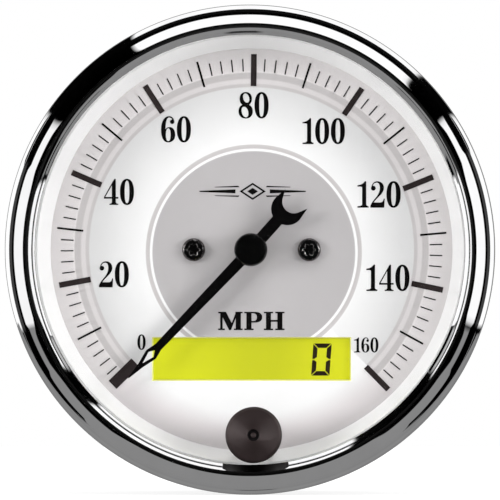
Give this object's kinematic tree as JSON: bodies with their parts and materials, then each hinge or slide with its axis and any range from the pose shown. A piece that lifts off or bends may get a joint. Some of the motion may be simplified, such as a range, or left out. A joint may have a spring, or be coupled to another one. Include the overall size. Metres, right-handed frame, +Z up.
{
  "type": "speedometer",
  "caption": "Round electric dashboard speedometer with a chrome bezel, a white dial, a pointer with an open diamond and a crescent tail, a display window and a reset button.",
  "frame": {"origin": "on the dial's axis, in the plane where the bezel's back edge meets the panel", "axes": "+Y along the barrel towards the studs, so the dial faces -Y; +Z up; +X to the right for someone who reads the dial"},
  "size_m": [0.0852, 0.0772, 0.0852],
  "materials": {
    "chrome": "polished",
    "lens_glass": "clear",
    "seal_rubber": "matt",
    "case_plastic": "fine texture",
    "white_plastic": "satin",
    "dial_print": "satin",
    "black_ink": "printed",
    "black_steel": "blackened",
    "clear_acrylic": "clear",
    "display_film": "smooth",
    "strip_rubber": "matt",
    "board": "lacquered",
    "bright_steel": "bright",
    "chip_plastic": "moulded",
    "plunger_plastic": "moulded",
    "capacitor_sleeve": "sleeved",
    "ribbon": "flat",
    "former_plastic": "moulded",
    "copper_wire": "enamelled",
    "shield_iron": "plated",
    "brass": "turned",
    "magnet": "sintered",
    "pointer_black": "satin black",
    "hub_black": "gloss",
    "button_black": "matt",
    "holder_plastic": "moulded",
    "bulb_glass": "clear",
    "zinc_steel": "zinc plated"
  },
  "bodies": {
    "root": {"bezel": "chrome", "lens": "lens_glass", "front_seal": "seal_rubber", "rear_seal": "seal_rubber", "case": "case_plastic", "light_ring": "white_plastic", "dial_plate": "dial_print", "dial_scale": "black_ink", "dial_screws": "black_steel", "light_guide": "clear_acrylic", "carrier": "white_plastic", "display_panel": "display_film", "display_backlight": "display_film", "contact_strips": "strip_rubber", "display_board": "board", "display_board_screws": "bright_steel", "switch_body": "chip_plastic", "main_board": "board", "main_board_screws": "bright_steel", "controller_chip": "chip_plastic", "capacitors": "capacitor_sleeve", "regulator": "chip_plastic", "crystal": "bright_steel", "ribbon_link": "ribbon", "former_front_half": "former_plastic", "former_rear_half": "former_plastic", "inner_winding": "copper_wire", "outer_winding": "copper_wire", "shield_can": "shield_iron", "movement_terminals": "brass", "front_bearing": "brass", "rear_bearing": "brass", "button_bush": "button_black", "bush_retainer": "bright_steel", "button_spring": "bright_steel", "connector_housing": "holder_plastic", "connector_pins": "brass", "studs": "zinc_steel"},
    "pointer_works": {"spindle": "bright_steel", "magnet": "magnet", "pointer_bush": "brass", "pointer": "pointer_black", "hub_cap": "hub_black"},
    "button": {"button_cap": "button_black", "button_stem": "bright_steel", "stem_clip": "bright_steel"},
    "plunger": {"switch_plunger": "plunger_plastic"},
    "lamp_left": {"lamp_holder_left": "holder_plastic", "bulb_left": "bulb_glass"},
    "lamp_right": {"lamp_holder_right": "holder_plastic", "bulb_right": "bulb_glass"},
    "bracket": {"bracket": "zinc_steel", "washers": "zinc_steel"},
    "nut_upper": {"nut_upper": "zinc_steel"},
    "nut_lower": {"nut_lower": "zinc_steel"}
  },
  "joints": [
    {"name": "pointer_sweep", "type": "hinge", "parent": "root", "child": "pointer_works", "pos_m": [0, 0, 0], "axis": [0, 1, 0], "range_deg": [0, 274]},
    {"name": "button_press", "type": "slide", "parent": "root", "child": "button", "axis": [0, 1, 0], "range_m": [0, 0.0008], "stiffness_N_per_m": 800, "springref_m": -0.001, "deforming": ["button_spring"]},
    {"name": "plunger_press", "type": "slide", "parent": "root", "child": "plunger", "axis": [0, 1, 0], "range_m": [0, 0.0008]},
    {"name": "lamp_twist_left", "type": "hinge", "parent": "root", "child": "lamp_left", "pos_m": [-0.02298, 0.046, 0.013], "axis": [0, 1, 0], "range_deg": [0, 45]},
    {"name": "lamp_twist_right", "type": "hinge", "parent": "root", "child": "lamp_right", "pos_m": [0.02298, 0.046, 0.013], "axis": [0, 1, 0], "range_deg": [0, 45]},
    {"name": "bracket_slide", "type": "slide", "parent": "root", "child": "bracket", "axis": [0, 1, 0], "range_m": [-0.0013, 0.0086]},
    {"name": "nut_spin_upper", "type": "hinge", "parent": "bracket", "child": "nut_upper", "pos_m": [0, 0.0497, 0.028], "axis": [0, 1, 0], "range_deg": [-585, 3870]},
    {"name": "nut_spin_lower", "type": "hinge", "parent": "bracket", "child": "nut_lower", "pos_m": [0, 0.0497, -0.028], "axis": [0, 1, 0], "range_deg": [-585, 3870]}
  ],
  "couplings": [
    {"joint": "plunger_press", "follows": "button_press", "ratio": 1},
    {"joint": "nut_spin_upper", "follows": "bracket_slide", "rad_per_m": 7854},
    {"joint": "nut_spin_lower", "follows": "bracket_slide", "rad_per_m": 7854}
  ]
}
